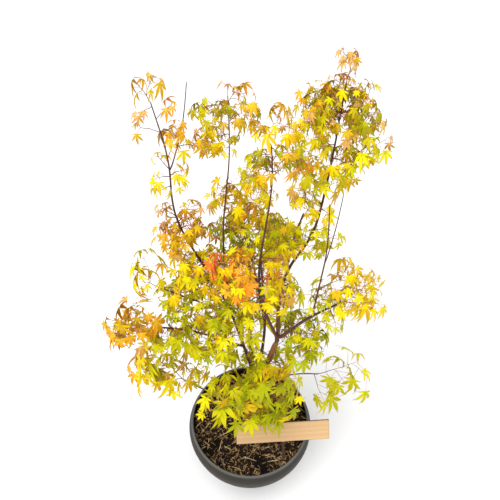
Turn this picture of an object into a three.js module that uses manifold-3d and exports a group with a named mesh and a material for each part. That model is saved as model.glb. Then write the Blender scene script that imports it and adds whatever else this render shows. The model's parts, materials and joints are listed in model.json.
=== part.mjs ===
// A young Japanese maple of about four years, three stems from one short trunk,
// standing in a round-bellied planter with a plain wooden plant tag.
// Millimetres, +Z up. The origin is the middle of the planter's flat underside,
// and the viewer's side of the plant is -Y.

import * as THREE from 'three';
import { mergeVertices } from 'three/addons/utils/BufferGeometryUtils.js';
import Module from 'manifold-3d';

const wasm = await Module();
wasm.setup();

// ---------------------------------------------------------------- driving sizes

const GAP = 0.4; // clearance left wherever two pieces meet

const POT = {
  height: 210,
  foot: 88, // radius of the flat underside
  rim: 138, // outer radius at the top edge
  flank: [100, 70], // radius and height that pull the lower wall
  belly: [166, 150], // radius and height that pull the wall outwards
  wall: 4.6,
  floor: 6,
  drain: 6, // radius of a drainage hole
  drainRing: 52, // radius of the ring of holes
  drains: 4,
  sides: 32,
  steps: 7, // straight stretches that the wall is made of
};

const SOIL = { level: 185, heap: 5, collar: 26 };

const TAG = {
  length: 214,
  height: 47,
  thick: 3,
  stake: 7,
  stakeLength: 62,
  tilt: 50, // degrees that the face leans back from level
  yaw: 4, // degrees that the right end swings away
  foot: [76, -55, 214], // middle of the lower edge
};

const TRUNK_FLARE = { extra: 7, fade: 16 }; // added radius at the soil and how fast it fades
const RING_STEP = 46; // spacing of the rings along a limb

// ---------------------------------------------------------------- limbs

// Each limb leaves its parent at a share of the parent's length and runs through
// the given places; girth is its radius at the foot and at the tip.
const LIMBS = [
  { name: 'trunk', start: [5, 0, 172], through: [[0, 5, 280], [15, 15, 360]], girth: [12, 8.5] },
  {
    name: 'left_stem', from: 'trunk', share: 1, girth: [4.2, 0.9],
    through: [[-10, 35, 485], [-50, 70, 630], [-130, 120, 805], [-132, 130, 945], [-146, 120, 1082]],
    endsIn: 'left_top_spray',
  },
  {
    name: 'right_stem', from: 'trunk', share: 1, girth: [6.6, 5],
    through: [[35, 10, 475], [55, 20, 555]],
  },
  {
    name: 'mid_stem', from: 'trunk', share: 0.94, girth: [4.2, 1.8],
    through: [[30, 50, 570], [20, 85, 725], [20, 100, 775]],
    endsIn: 'centre_right',
  },
  {
    name: 'centre_stem', from: 'right_stem', share: 1, girth: [3.6, 0.9],
    through: [[25, 20, 670], [15, 30, 760], [35, 70, 970], [28, 98, 1055]],
    endsIn: 'centre_tip',
  },
  {
    name: 'right_back_stem', from: 'right_stem', share: 1, girth: [4.2, 1.1],
    through: [[55, 50, 650], [70, 85, 705], [110, 112, 760], [130, 140, 865], [145, 165, 1090]],
    endsIn: 'right_tip',
  },
  {
    name: 'right_slant', from: 'right_back_stem', share: 0.27, girth: [2.5, 1.4],
    through: [[80, 120, 745], [105, 148, 830]],
    endsIn: 'right_hem',
  },
  {
    name: 'right_arm', from: 'right_stem', share: 1, girth: [3.8, 1.9],
    through: [[110, 10, 655], [165, 0, 725]],
    endsIn: 'right_arm_end',
  },
  {
    name: 'bare_stem', from: 'right_arm', share: 0.6, girth: [2, 0.8],
    through: [[120, 8, 775], [125, 15, 850], [120, 25, 965]],
  },
  {
    name: 'bare_twig', from: 'bare_stem', share: 0.5, girth: [1.2, 0.7],
    through: [[135, 20, 910], [140, 30, 980]],
  },
  {
    name: 'centre_left_stem', from: 'left_stem', share: 0.33, girth: [2.5, 0.8],
    through: [[-50, 130, 745], [-35, 180, 905], [-35, 190, 1035]],
  },
  {
    name: 'left_bare_twig', from: 'left_stem', share: 0.78, girth: [1.3, 0.7],
    through: [[-106, 150, 1000], [-94, 165, 1082]],
  },
  {
    name: 'left_bough', from: 'left_stem', share: 0.18, girth: [2.8, 1.5],
    through: [[-115, 20, 590], [-205, 0, 640]],
    endsIn: 'left_end',
  },
  {
    name: 'left_flank_bough', from: 'left_stem', share: 0.31, girth: [2.2, 1.1],
    through: [[-120, 72, 625], [-185, 60, 690]],
    endsIn: 'left_flank',
  },
  {
    name: 'low_left', from: 'trunk', share: 0.62, girth: [2.2, 1.2],
    through: [[-75, 0, 345], [-158, 0, 440]],
    endsIn: 'left_foot',
  },
  {
    name: 'low_right', from: 'trunk', share: 0.78, girth: [2.2, 1.2],
    through: [[85, 30, 385], [175, 30, 378]],
    endsIn: 'right_foot',
  },
  {
    name: 'front_left_bough', from: 'trunk', share: 0.7, girth: [2.6, 1.4],
    through: [[-30, -20, 380], [-70, -40, 440]],
    endsIn: 'front_left',
  },
  {
    name: 'front_right_bough', from: 'trunk', share: 0.88, girth: [2.6, 1.4],
    through: [[40, -18, 430], [75, -40, 480]],
    endsIn: 'front_right',
  },
  {
    name: 'back_bough', from: 'mid_stem', share: 0.5, girth: [2.6, 1.4],
    through: [[10, 120, 640], [-15, 170, 740]],
    endsIn: 'centre_back',
  },
  {
    name: 'back_low_bough', from: 'trunk', share: 0.9, girth: [3.4, 1.6],
    through: [[5, 80, 390], [0, 150, 450]],
    endsIn: 'back_low',
  },
];

// ---------------------------------------------------------------- foliage

// Masses of foliage by the limb that carries them. Each sits at a share of that limb's
// length, set aside from its middle line; size is width, depth and height.
const FOLIAGE = {
  left_stem: [
    { name: 'left_top_spray', share: 1, aside: [0, 0, 14], size: [56, 46, 36], tint: 'rose' },
    { name: 'left_leader_spray', share: 0.88, aside: [-4, -4, 4], size: [60, 58, 54], tint: 'amber' },
    { name: 'left_fork_spray', share: 0.82, aside: [36, 2, 28], size: [92, 48, 30], tint: 'gold' },
    { name: 'left_low_spray', share: 0.77, aside: [18, 0, -4], size: [54, 40, 24], tint: 'gold' },
    { name: 'left_shoulder', share: 0.6, aside: [8, 0, -2], size: [98, 90, 78], tint: 'amber' },
    { name: 'middle_left', share: 0.47, aside: [0, -8, 0], size: [116, 104, 98], tint: 'gold' },
    { name: 'middle_low', share: 0.34, aside: [4, -34, 6], size: [124, 90, 84], tint: 'lime' },
  ],
  left_flank_bough: [
    { name: 'left_flank', share: 1, aside: [-4, 4, 19], size: [82, 78, 78], tint: 'gold' },
    { name: 'left_mid', share: 0.5, aside: [5, 8, 2], size: [106, 90, 76], tint: 'lime' },
  ],
  centre_left_stem: [
    { name: 'centre_left_top', share: 0.93, aside: [-4, -4, -4], size: [98, 84, 84], tint: 'olive' },
    { name: 'centre_left_skirt', share: 0.8, aside: [-8, -4, 0], size: [122, 66, 44], tint: 'gold' },
  ],
  centre_stem: [
    { name: 'centre_tip', share: 1, aside: [8, 0, -6], size: [94, 60, 50], tint: 'gold' },
    { name: 'centre_upper', share: 0.85, aside: [4, 4, 0], size: [104, 82, 76], tint: 'olive' },
    { name: 'middle', share: 0.41, aside: [-36, 0, 0], size: [96, 94, 92], tint: 'ember' },
    { name: 'middle_right', share: 0.41, aside: [26, -8, -4], size: [96, 92, 92], tint: 'gold' },
  ],
  right_back_stem: [
    { name: 'right_tip', share: 1, aside: [0, 0, 14], size: [60, 50, 50], tint: 'rose' },
    { name: 'right_crown', share: 0.86, aside: [2, 6, 4], size: [138, 118, 104], tint: 'olive' },
    { name: 'right_crown_inner', share: 0.83, aside: [-44, -8, -12], size: [78, 76, 58], tint: 'gold' },
    { name: 'right_skirt', share: 0.68, aside: [0, -10, 6], size: [134, 90, 62], tint: 'lime' },
    { name: 'right_reach', share: 0.77, aside: [56, -14, 4], size: [124, 60, 30], tint: 'lime' },
    { name: 'right_hem', share: 0.54, aside: [-16, 0, 4], size: [66, 66, 60], tint: 'gold' },
    { name: 'right_pocket', share: 0.42, aside: [20, -8, -4], size: [76, 70, 58], tint: 'lime' },
  ],
  back_bough: [
    { name: 'centre_back', share: 1, aside: [0, 6, 32], size: [126, 110, 92], tint: 'gold' },
    { name: 'back_high', share: 0.7, aside: [10, 44, -10], size: [190, 112, 124], tint: 'green' },
  ],
  mid_stem: [
    { name: 'centre_right', share: 1, aside: [28, -8, 12], size: [108, 100, 96], tint: 'lime' },
  ],
  left_bough: [
    { name: 'left_end', share: 1, aside: [-18, 0, -3], size: [104, 96, 92], tint: 'orange' },
    { name: 'left_bough_spray', share: 0.76, aside: [0, 0, -4], size: [92, 80, 66], tint: 'lime' },
    { name: 'left_inner', share: 0.43, aside: [-8, 4, -12], size: [104, 92, 84], tint: 'lime' },
  ],
  low_left: [
    { name: 'left_foot', share: 1, aside: [-32, 0, 12], size: [124, 92, 62], tint: 'gold' },
  ],
  right_arm: [
    { name: 'right_arm_end', share: 1, aside: [22, 0, 32], size: [104, 94, 80], tint: 'gold' },
    { name: 'right_arm_mid', share: 0.78, aside: [0, 12, 12], size: [68, 68, 58], tint: 'lime' },
  ],
  right_stem: [
    { name: 'right_lower', share: 0.95, aside: [48, 8, 4], size: [112, 104, 92], tint: 'green' },
  ],
  low_right: [
    { name: 'right_foot', share: 1, aside: [36, 0, 0], size: [120, 74, 46], tint: 'lime' },
  ],
  front_left_bough: [
    { name: 'front_left', share: 1, aside: [0, 0, 4], size: [104, 88, 84], tint: 'lime' },
  ],
  front_right_bough: [
    { name: 'front_right', share: 1, aside: [0, 0, 0], size: [92, 86, 84], tint: 'lime' },
  ],
  trunk: [
    { name: 'front_low', share: 0.95, aside: [2, -36, 24], size: [132, 86, 186], tint: 'green' },
  ],
  back_low_bough: [
    { name: 'back_low', share: 1, aside: [0, 40, 10], size: [216, 126, 116], tint: 'green' },
  ],
};
const MASSES = Object.entries(FOLIAGE).flatMap(([on, list]) => list.map((mass) => ({ on, ...mass })));

const MASS_SHAPE = {
  detail: 1, // rounds of splitting of the starting icosahedron
  lobes: 7, // bulges and hollows on each mass
  reach: 0.5, // how far the deepest of them moves the surface, as a share of the radius
};

// ---------------------------------------------------------------- finishes

const finish = (color, roughness, metalness = 0) =>
  new THREE.MeshStandardMaterial({ color, roughness, metalness, flatShading: true });

const FINISHES = {
  planter: finish(0x3f4144, 0.62),
  compost: finish(0x4a3528, 0.95),
  timber: finish(0xcda377, 0.6),
  bark: finish(0x6b4a3a, 0.75),
  rose: finish(0xc9825e, 0.7),
  orange: finish(0xd98a36, 0.7),
  amber: finish(0xc98b2c, 0.7),
  gold: finish(0xdab22f, 0.7),
  ember: finish(0xd9752f, 0.7),
  olive: finish(0x9c9a32, 0.7),
  lime: finish(0xb4c632, 0.7),
  green: finish(0x7f9a33, 0.7),
};

// ---------------------------------------------------------------- solids and meshes

// A closed geometry as a solid that can be cut.
function toSolid(geometry) {
  geometry.deleteAttribute('normal');
  geometry.deleteAttribute('uv');
  const merged = mergeVertices(geometry, 1e-4);
  const vertProperties = new Float32Array(merged.attributes.position.array);
  const triVerts = new Uint32Array(merged.index.array);
  return new wasm.Manifold(new wasm.Mesh({ numProp: 3, vertProperties, triVerts }));
}

// The largest closed body of a solid, so that a cut leaves no crumbs behind.
function largest(solid) {
  const bodies = solid.decompose();
  return bodies.reduce((best, body) => (body.volume() > best.volume() ? body : best));
}

function toMesh(name, solid, material) {
  const { vertProperties, triVerts, numProp } = solid.getMesh();
  const positions = [];
  for (let i = 0; i < vertProperties.length; i += numProp) {
    positions.push(vertProperties[i], vertProperties[i + 1], vertProperties[i + 2]);
  }
  const geometry = new THREE.BufferGeometry();
  geometry.setAttribute('position', new THREE.Float32BufferAttribute(positions, 3));
  geometry.setIndex([...triVerts]);
  geometry.computeVertexNormals();
  const mesh = new THREE.Mesh(geometry, material);
  mesh.name = name;
  return mesh;
}

// Random numbers from 0 to 1 that come out the same for the same seed.
function seeded(seed) {
  let state = seed;
  return () => {
    state = (state * 1664525 + 1013904223) % 4294967296;
    return state / 4294967296;
  };
}

// ---------------------------------------------------------------- planter, compost, tag

// The outer wall from the foot to the rim as points of radius and height.
function wallOutline(inset) {
  const at = ([radius, height]) => new THREE.Vector2(radius - inset, height);
  const curve = new THREE.CubicBezierCurve(
    at([POT.foot, 0]), at(POT.flank), at(POT.belly), at([POT.rim, POT.height]),
  );
  return curve.getPoints(POT.steps);
}

function turned(points) {
  const lathe = new THREE.LatheGeometry(points, POT.sides);
  return toSolid(lathe.rotateX(Math.PI / 2));
}

// The inside of the wall, from the floor up, with the floor's corner on the wall.
function insideOutline(inset, floor) {
  const wall = wallOutline(inset).filter((point) => point.y > floor + 8);
  const cornerRadius = wall[0].x - 12;
  return [new THREE.Vector2(cornerRadius, floor), ...wall];
}

function planter() {
  const outside = wallOutline(0);
  const inside = insideOutline(POT.wall, POT.floor).reverse();
  const axis = (height) => new THREE.Vector2(0, height);
  const shell = turned([axis(0), ...outside, ...inside, axis(POT.floor)]);
  const drains = [];
  for (let i = 0; i < POT.drains; i += 1) {
    const angle = (i + 0.5) * ((2 * Math.PI) / POT.drains);
    const hole = new THREE.CylinderGeometry(POT.drain, POT.drain, POT.floor * 4, 8);
    hole.rotateX(Math.PI / 2);
    hole.translate(POT.drainRing * Math.cos(angle), POT.drainRing * Math.sin(angle), 0);
    drains.push(toSolid(hole));
  }
  return drains.reduce((solid, hole) => solid.subtract(hole), shell);
}

function compost(tagHole) {
  const side = insideOutline(POT.wall + GAP, POT.floor + GAP)
    .filter((point) => point.y < SOIL.level - SOIL.heap - 4);
  const edge = wallOutline(POT.wall + GAP).find((point) => point.y > SOIL.level - SOIL.heap);
  const lip = new THREE.Vector2(edge.x - 2, SOIL.level - SOIL.heap);
  const heap = new THREE.Vector2(lip.x * 0.6, SOIL.level - 2);
  const collar = new THREE.Vector2(SOIL.collar, SOIL.level);
  const axis = (height) => new THREE.Vector2(0, height);
  const plug = turned([axis(POT.floor + GAP), ...side, lip, heap, collar, axis(SOIL.level)]);
  return largest(plug.subtract(tagHole));
}

// A flat tag with one stake under its middle, leaning back with its foot in the compost.
function tag(grow) {
  const half = TAG.length / 2 + grow;
  const stake = TAG.stake / 2 + grow;
  const outline = new THREE.Shape();
  outline.moveTo(-half, -grow);
  outline.lineTo(-stake, -grow);
  outline.lineTo(-stake, -TAG.stakeLength - grow);
  outline.lineTo(stake, -TAG.stakeLength - grow);
  outline.lineTo(stake, -grow);
  outline.lineTo(half, -grow);
  outline.lineTo(half, TAG.height + grow);
  outline.lineTo(-half, TAG.height + grow);
  const depth = TAG.thick + 2 * grow;
  const plate = new THREE.ExtrudeGeometry(outline, { depth, bevelEnabled: false });
  plate.translate(0, 0, -depth / 2);
  plate.rotateX(THREE.MathUtils.degToRad(TAG.tilt));
  plate.rotateZ(THREE.MathUtils.degToRad(TAG.yaw));
  plate.translate(...TAG.foot);
  return toSolid(plate);
}

// ---------------------------------------------------------------- limbs

// The middle line and radii of a limb; share runs from 0 at its foot to 1 at its tip.
function limbLine(limb, lines) {
  const parent = lines.get(limb.from);
  const start = parent ? parent.curve.getPointAt(limb.share) : new THREE.Vector3(...limb.start);
  const places = limb.through.map((place) => new THREE.Vector3(...place));
  const curve = new THREE.CatmullRomCurve3([start, ...places], false, 'centripetal');
  const length = curve.getLength();
  const flare = parent ? 0 : TRUNK_FLARE.extra;
  const radius = (share) => {
    const taper = THREE.MathUtils.lerp(...limb.girth, share ** 0.85);
    return taper + flare * Math.exp((-share * length) / TRUNK_FLARE.fade);
  };
  return { curve, length, radius };
}

// A tapering tube of rings along the limb's line, with flat ends.
function limbTube({ curve, length, radius }, grow) {
  const steps = Math.max(4, Math.round(length / RING_STEP));
  const sides = radius(0) > 6 ? 7 : 5;
  const frames = curve.computeFrenetFrames(steps, false);
  const positions = [];
  const ringAt = (i) => {
    const share = i / steps;
    const middle = curve.getPointAt(share);
    const ends = i === 0 ? -grow : Number(i === steps) * grow;
    middle.addScaledVector(frames.tangents[i], ends);
    for (let k = 0; k < sides; k += 1) {
      const angle = (k / sides) * 2 * Math.PI;
      const corner = middle.clone()
        .addScaledVector(frames.normals[i], Math.cos(angle) * (radius(share) + grow))
        .addScaledVector(frames.binormals[i], Math.sin(angle) * (radius(share) + grow));
      positions.push(corner.x, corner.y, corner.z);
    }
  };
  for (let i = 0; i <= steps; i += 1) ringAt(i);
  const faces = [];
  for (let i = 0; i < steps; i += 1) {
    for (let k = 0; k < sides; k += 1) {
      const next = (k + 1) % sides;
      const [a, b] = [i * sides + k, i * sides + next];
      const [c, d] = [a + sides, b + sides];
      faces.push(a, b, d, a, d, c);
    }
  }
  const last = steps * sides;
  for (let k = 1; k < sides - 1; k += 1) {
    faces.push(0, k + 1, k);
    faces.push(last, last + k, last + k + 1);
  }
  const geometry = new THREE.BufferGeometry();
  geometry.setAttribute('position', new THREE.Float32BufferAttribute(positions, 3));
  geometry.setIndex(faces);
  return toSolid(geometry);
}

// ---------------------------------------------------------------- foliage masses

// A ball with seeded bulges and hollows, stretched to its size and grown outwards.
function massBall(mass, index, middle, grow) {
  const random = seeded(index * 7919 + 17);
  const ball = new THREE.IcosahedronGeometry(1, MASS_SHAPE.detail);
  const lobes = Array.from({ length: MASS_SHAPE.lobes }, (_, i) => ({
    way: new THREE.Vector3(random() - 0.5, random() - 0.5, random() - 0.5).normalize(),
    depth: MASS_SHAPE.reach * (i % 3 ? 0.9 * random() : -0.5),
  }));
  const turn = (random() - 0.5) * Math.PI;
  ball.deleteAttribute('normal');
  ball.deleteAttribute('uv');
  const shape = mergeVertices(ball, 1e-4);
  const place = shape.attributes.position;
  const point = new THREE.Vector3();
  for (let i = 0; i < place.count; i += 1) {
    point.fromBufferAttribute(place, i).normalize();
    const bulge = lobes.reduce((sum, { way, depth }) => sum + depth * Math.max(0, way.dot(point)) ** 3, 1);
    point.multiplyScalar(bulge);
    place.setXYZ(i, point.x, point.y, point.z);
  }
  shape.rotateZ(turn);
  shape.center();
  shape.computeBoundingBox();
  const extent = shape.boundingBox.getSize(new THREE.Vector3());
  shape.scale(mass.size[0] / extent.x, mass.size[1] / extent.y, mass.size[2] / extent.z);
  shape.computeVertexNormals();
  const outward = shape.attributes.normal;
  for (let i = 0; i < place.count; i += 1) {
    point.fromBufferAttribute(place, i);
    const [x, y, z] = [outward.getX(i), outward.getY(i), outward.getZ(i)];
    place.setXYZ(i, point.x + grow * x, point.y + grow * y, point.z + grow * z);
  }
  shape.translate(middle.x, middle.y, middle.z);
  return toSolid(shape);
}

// ---------------------------------------------------------------- the whole plant

const potted = new THREE.Group();
const lines = new Map();
const limbs = [];
for (const limb of LIMBS) {
  const line = limbLine(limb, lines);
  lines.set(limb.name, line);
  limbs.push({ ...limb, solid: limbTube(line, 0), grown: limbTube(line, GAP) });
}
const masses = MASSES.map((mass, index) => {
  const middle = lines.get(mass.on).curve.getPointAt(mass.share);
  middle.add(new THREE.Vector3(...mass.aside));
  const solid = massBall(mass, index, middle, 0);
  return { ...mass, solid, grown: massBall(mass, index, middle, GAP) };
});

// The trunk stands flat on the compost.
const ground = new THREE.BoxGeometry(80, 80, 80);
ground.translate(0, 0, SOIL.level + GAP - 40);
limbs[0].solid = limbs[0].solid.subtract(toSolid(ground));

// A limb is cut by the limbs before it, so it begins at its parent's surface, and by the
// mass that it ends in. Every other mass is cut round it.
limbs.forEach((limb, i) => {
  const before = limbs.slice(0, i).map((other) => other.grown);
  const ending = masses.filter((mass) => mass.name === limb.endsIn).map((mass) => mass.grown);
  const shape = [...before, ...ending].reduce((solid, cutter) => solid.subtract(cutter), limb.solid);
  potted.add(toMesh(limb.name, largest(shape), FINISHES.bark));
});
masses.forEach((mass, i) => {
  const through = limbs.filter((limb) => limb.endsIn !== mass.name).map((limb) => limb.grown);
  const before = masses.slice(0, i).map((other) => other.grown);
  const shape = [...through, ...before].reduce((solid, cutter) => solid.subtract(cutter), mass.solid);
  potted.add(toMesh(mass.name, largest(shape), FINISHES[mass.tint]));
});

potted.add(toMesh('planter', planter(), FINISHES.planter));
potted.add(toMesh('compost', compost(tag(GAP)), FINISHES.compost));
potted.add(toMesh('plant_tag', tag(0), FINISHES.timber));

export default potted;
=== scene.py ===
"""A young Japanese maple in a round-bellied planter with a plain wooden tag.

The trunk and stems get bark, every mass of foliage becomes twigs and leaves that grow
from the limbs by a seeded rule, and planter, compost and tag get their finish.
Metres, +Z up; the viewer's side is -Y.
"""

import json
import math
import random

import bmesh
import bpy
import numpy as np
from mathutils import Euler, Matrix, Vector, noise
from mathutils.bvhtree import BVHTree

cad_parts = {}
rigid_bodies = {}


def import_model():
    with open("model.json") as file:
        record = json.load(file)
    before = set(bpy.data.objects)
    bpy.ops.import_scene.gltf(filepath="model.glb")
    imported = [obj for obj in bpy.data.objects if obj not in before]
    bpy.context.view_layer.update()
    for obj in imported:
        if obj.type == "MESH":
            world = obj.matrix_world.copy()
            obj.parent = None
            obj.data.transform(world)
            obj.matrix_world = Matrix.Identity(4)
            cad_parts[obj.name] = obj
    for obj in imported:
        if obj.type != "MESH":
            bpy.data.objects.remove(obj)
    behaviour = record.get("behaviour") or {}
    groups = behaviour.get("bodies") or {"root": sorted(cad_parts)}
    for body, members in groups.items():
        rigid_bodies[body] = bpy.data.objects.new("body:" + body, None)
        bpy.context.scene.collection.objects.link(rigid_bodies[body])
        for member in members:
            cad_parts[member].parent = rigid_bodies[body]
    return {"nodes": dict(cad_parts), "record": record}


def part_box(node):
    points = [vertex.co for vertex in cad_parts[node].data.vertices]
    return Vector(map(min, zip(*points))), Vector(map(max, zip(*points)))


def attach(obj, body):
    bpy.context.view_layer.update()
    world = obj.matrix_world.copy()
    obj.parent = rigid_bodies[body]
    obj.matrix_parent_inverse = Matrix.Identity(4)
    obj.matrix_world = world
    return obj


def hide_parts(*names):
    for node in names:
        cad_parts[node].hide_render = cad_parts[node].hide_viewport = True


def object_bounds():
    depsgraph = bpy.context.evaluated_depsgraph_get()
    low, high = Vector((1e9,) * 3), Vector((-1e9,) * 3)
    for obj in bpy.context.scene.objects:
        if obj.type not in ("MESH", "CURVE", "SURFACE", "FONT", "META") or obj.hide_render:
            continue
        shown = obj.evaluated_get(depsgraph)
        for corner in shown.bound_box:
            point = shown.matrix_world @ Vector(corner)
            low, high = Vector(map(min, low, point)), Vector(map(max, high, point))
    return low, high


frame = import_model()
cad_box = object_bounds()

UP = Vector((0, 0, 1))

# ------------------------------------------------------------------ camera

CAMERA_PLACE = (0, -0.651, 1.746)
CAMERA_DOWN = math.radians(53.2)  # how steeply it looks down
CAMERA_FIELD = math.radians(40)


def set_camera():
    lens = bpy.data.cameras.new("camera")
    lens.sensor_fit = "HORIZONTAL"
    lens.angle = CAMERA_FIELD
    lens.clip_start = 0.01
    camera = bpy.data.objects.new("camera", lens)
    camera.location = CAMERA_PLACE
    camera.rotation_euler = (math.pi / 2 - CAMERA_DOWN, 0, 0)
    bpy.context.scene.collection.objects.link(camera)
    bpy.context.scene.camera = camera


set_camera()

# ------------------------------------------------------------------ node trees


class Value:
    """A socket on which Python's operators write Math nodes."""

    def __init__(self, nodes, socket):
        self.nodes, self.socket = nodes, socket

    def maths(self, operation, first, second=0.0):
        return self.nodes.node("ShaderNodeMath", {"operation": operation}, {0: first, 1: second})

    def __add__(self, other):
        return self.maths("ADD", self, other)

    def __sub__(self, other):
        return self.maths("SUBTRACT", self, other)

    def __rsub__(self, other):
        return self.maths("SUBTRACT", other, self)

    def __mul__(self, other):
        return self.maths("MULTIPLY", self, other)

    def __truediv__(self, other):
        return self.maths("DIVIDE", self, other)

    def __pow__(self, other):
        return self.maths("POWER", self, other)

    def clamped(self):
        return self.maths("MINIMUM", self.maths("MAXIMUM", self, 0.0), 1.0)

    __radd__ = __add__
    __rmul__ = __mul__


class Nodes:
    """A node tree that is written one call at a time."""

    def __init__(self, tree):
        self.tree = tree

    def node(self, kind, settings=None, inputs=None, output=0):
        """Adds a node: its settings first, then the values or links of its sockets."""
        made = self.tree.nodes.new(kind)
        for key, value in (settings or {}).items():
            if key == "stops":
                write_stops(made.color_ramp, value)
            else:
                setattr(made, key, value)
        for key, value in (inputs or {}).items():
            if isinstance(value, Value):
                self.tree.links.new(value.socket, made.inputs[key])
            else:
                made.inputs[key].default_value = value
        return Value(self, made.outputs[output])


def write_stops(ramp, stops):
    """Gives a colour ramp its (place, colour) stops."""
    while len(ramp.elements) < len(stops):
        ramp.elements.new(1.0)
    for element, (place, colour) in zip(ramp.elements, stops):
        element.position = place
        element.color = colour


def colour(code):
    """A colour written as six hexadecimal digits, as linear red, green, blue and alpha."""
    parts = [int(code[i : i + 2], 16) / 255 for i in (0, 2, 4)]
    return (*[p / 12.92 if p <= 0.04045 else ((p + 0.055) / 1.055) ** 2.4 for p in parts], 1.0)


class Finish(Nodes):
    """A material with one Principled shader."""

    def __init__(self, name, **constants):
        self.material = bpy.data.materials.new(name)
        self.material.use_nodes = True
        super().__init__(self.material.node_tree)
        self.shader = self.tree.nodes["Principled BSDF"]
        for key, value in constants.items():
            self.shader.inputs[key.replace("_", " ")].default_value = value

    def feed(self, name, value):
        self.tree.links.new(value.socket, self.shader.inputs[name])

    def place(self, stretch=(1, 1, 1), output="Object"):
        """The place on the piece in metres, stretched along its axes."""
        found = self.node("ShaderNodeTexCoord", output=output)
        return self.node("ShaderNodeMapping", None, {"Vector": found, "Scale": stretch})

    def speckle(self, place, scale, detail=3.0, roughness=0.55):
        """Cloudy noise from 0 to 1."""
        sizes = {"Vector": place, "Scale": scale, "Detail": detail, "Roughness": roughness}
        return self.node("ShaderNodeTexNoise", None, sizes)

    def ramp(self, value, stops, output=0):
        return self.node("ShaderNodeValToRGB", {"stops": stops}, {0: value}, output)

    def blend(self, share, first, second, kind="MIX"):
        settings = {"data_type": "RGBA", "blend_type": kind}
        return self.node("ShaderNodeMix", settings, {0: share, 6: first, 7: second}, output=2)

    def bump(self, height, depth, strength=1.0):
        """Relief of the given depth in metres."""
        sizes = {"Height": height, "Distance": depth, "Strength": strength}
        self.feed("Normal", self.node("ShaderNodeBump", None, sizes))


class Recipe(Nodes):
    """A Geometry Nodes tree with named inputs."""

    def __init__(self, name, **inputs):
        super().__init__(bpy.data.node_groups.new(name, "GeometryNodeTree"))
        face = self.tree.interface
        face.new_socket("Geometry", in_out="INPUT", socket_type="NodeSocketGeometry")
        face.new_socket("Geometry", in_out="OUTPUT", socket_type="NodeSocketGeometry")
        for key, kind in inputs.items():
            face.new_socket(key, in_out="INPUT", socket_type="NodeSocket" + kind)
        self.start = self.tree.nodes.new("NodeGroupInput")
        self.end = self.tree.nodes.new("NodeGroupOutput")

    def given(self, name):
        return Value(self, self.start.outputs[name])

    def attribute(self, name, kind="FLOAT"):
        return self.node("GeometryNodeInputNamedAttribute", {"data_type": kind}, {"Name": name})

    def finish(self, geometry):
        self.tree.links.new(geometry.socket, self.end.inputs[0])


def show(name, mesh):
    piece = bpy.data.objects.new(name, mesh)
    bpy.context.scene.collection.objects.link(piece)
    return piece


def made_by(recipe, source, name, **inputs):
    """The plain mesh that a recipe makes of a source object, as a new piece."""
    modifier = source.modifiers.new(recipe.tree.name, "NODES")
    modifier.node_group = recipe.tree
    for item in recipe.tree.interface.items_tree:
        if item.in_out == "INPUT" and item.name in inputs:
            modifier[item.identifier] = inputs[item.name]
    graph = bpy.context.evaluated_depsgraph_get()
    mesh = bpy.data.meshes.new_from_object(source.evaluated_get(graph))
    mesh.name = name
    source.modifiers.remove(modifier)
    bpy.data.objects.remove(source)
    for attribute in [a.name for a in mesh.attributes if a.name in CARRIED]:
        mesh.attributes.remove(mesh.attributes[attribute])
    return show(name, mesh)


CARRIED = ("turn", "size", "form", "shade", "zone", "girth")


def add_attribute(mesh, name, kind, domain, values):
    made = mesh.attributes.new(name, kind, domain)
    field = {"FLOAT_VECTOR": "vector"}.get(kind, "value")
    made.data.foreach_set(field, np.asarray(values).ravel())


# ------------------------------------------------------------------ finishes


def planter_finish():
    """Matt anthracite plastic: a fine moulded grain, faint flow clouds and a painted highlight along the rim."""
    f = Finish("anthracite_plastic", IOR=1.45, Specular_IOR_Level=0.28)
    place = f.place()
    clouds = f.speckle(place, 14, 4)
    grit = f.speckle(place, 900, 2)
    smears = f.speckle(f.place((22, 22, 140)), 1, 3)
    body = f.ramp(clouds, [(0.3, colour("1e1913")), (0.7, colour("2d261d"))])
    gritty = f.blend(grit ** 3 * 0.5, body, colour("57534b"))
    height = f.node("ShaderNodeSeparateXYZ", None, {0: place}, output=2)
    # painted highlight: the top few millimetres of the rim are blended pale, broken up by streaky noise
    painted_rim_highlight = ((height - RIM_HIGHLIGHT_FROM) * (1 / RIM_HIGHLIGHT_DEEP)).clamped() * (smears * 0.5 + 0.35)
    f.feed("Base Color", f.blend(painted_rim_highlight, gritty, colour("6e6e6a")))
    f.feed("Roughness", clouds * 0.2 + 0.5)
    f.bump(grit * 0.6 + smears * 0.4 + clouds, 0.0006, 0.6)
    return f.material


def compost_finish(name, dark, light, scale):
    """Moist bark compost painted nearly black, partly its own wet colour and partly painted shade under the crown,
    darkest in its hollows as painted shade.
    """
    f = Finish(name, Specular_IOR_Level=0.12)
    place = f.place()
    crumbs = f.speckle(place, scale, 5, 0.7)
    cloud = f.speckle(place, scale / 9, 2)
    # painted shade: the low crumbs of the relief get the darkest colour, so hollows read as shaded
    tone = f.ramp(crumbs, [(0.35, colour(dark)), (0.72, colour(light))])
    f.feed("Base Color", f.blend(cloud * 0.6, tone, colour(dark), "MULTIPLY"))
    f.feed("Roughness", crumbs * 0.3 + 0.65)
    f.bump(crumbs, 0.002)
    return f.material


def fibre_finish(name, dark, light):
    """Dry bark and straw with long fibres."""
    f = Finish(name, Specular_IOR_Level=0.15)
    grain = f.speckle(f.place((900, 260, 600)), 1, 3)
    patch = f.speckle(f.place(), 60, 2)
    shade = f.ramp(grain * 0.6 + patch * 0.4, [(0.38, colour(dark)), (0.66, colour(light))])
    f.feed("Base Color", shade)
    f.feed("Roughness", grain * 0.25 + 0.6)
    f.bump(grain, 0.0004)
    return f.material


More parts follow.
